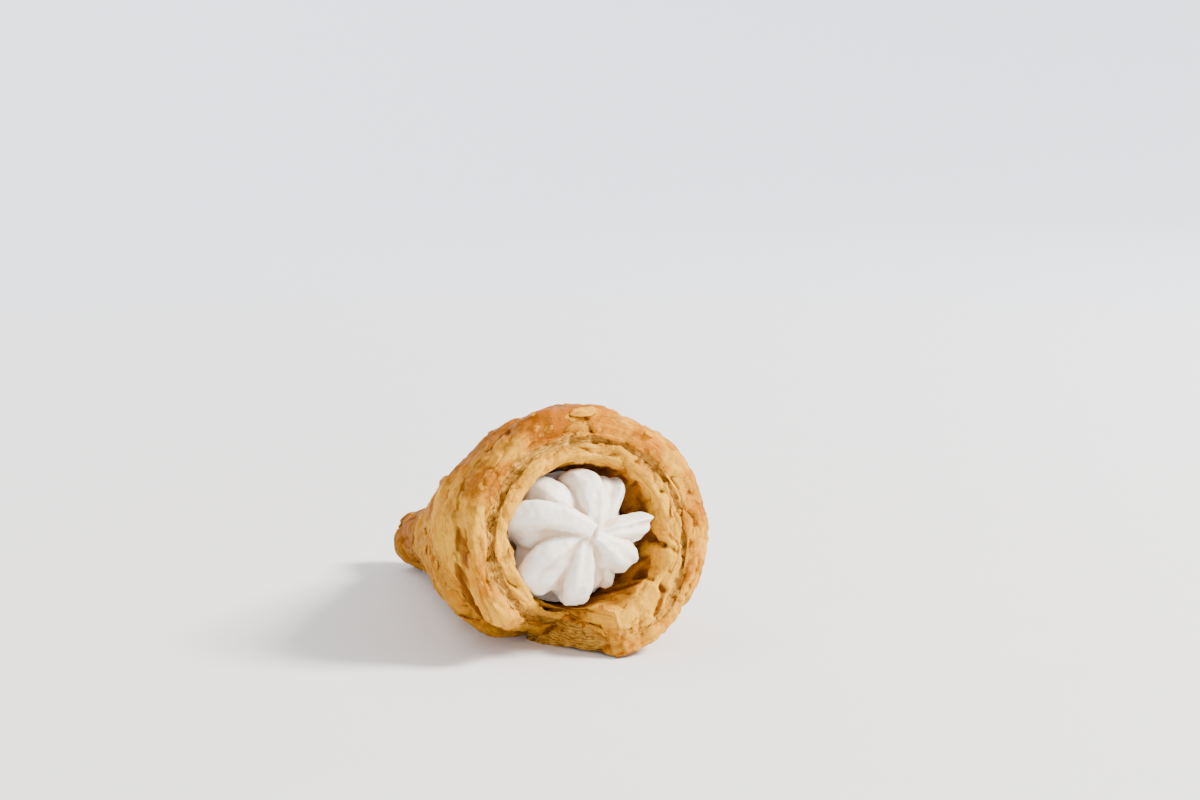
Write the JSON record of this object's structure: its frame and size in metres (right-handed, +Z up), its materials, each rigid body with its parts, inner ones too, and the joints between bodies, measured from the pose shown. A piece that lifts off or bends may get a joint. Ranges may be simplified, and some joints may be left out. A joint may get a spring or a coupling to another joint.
{
  "type": "cream horn pastry",
  "caption": "Horn of wound puff pastry lying on its side, with the strip's cut end pressed flat under the mouth, filled with a piped star of whipped cream.",
  "frame": {"origin": "centre of the bounding box's underside, where the horn lies on its tray", "axes": "+Y runs from the mouth back to the tip, level with the tray; +Z is up; +X is to the right as the mouth is looked into"},
  "size_m": [0.0655, 0.1164, 0.0589],
  "materials": {
    "baked_puff_pastry": "dry and flaky, with a thin egg-wash gloss on the raised turns",
    "whipped_cream": "soft, slightly moist"
  },
  "bodies": {
    "root": {"pastry": "baked_puff_pastry", "cream": "whipped_cream"}
  },
  "joints": []
}
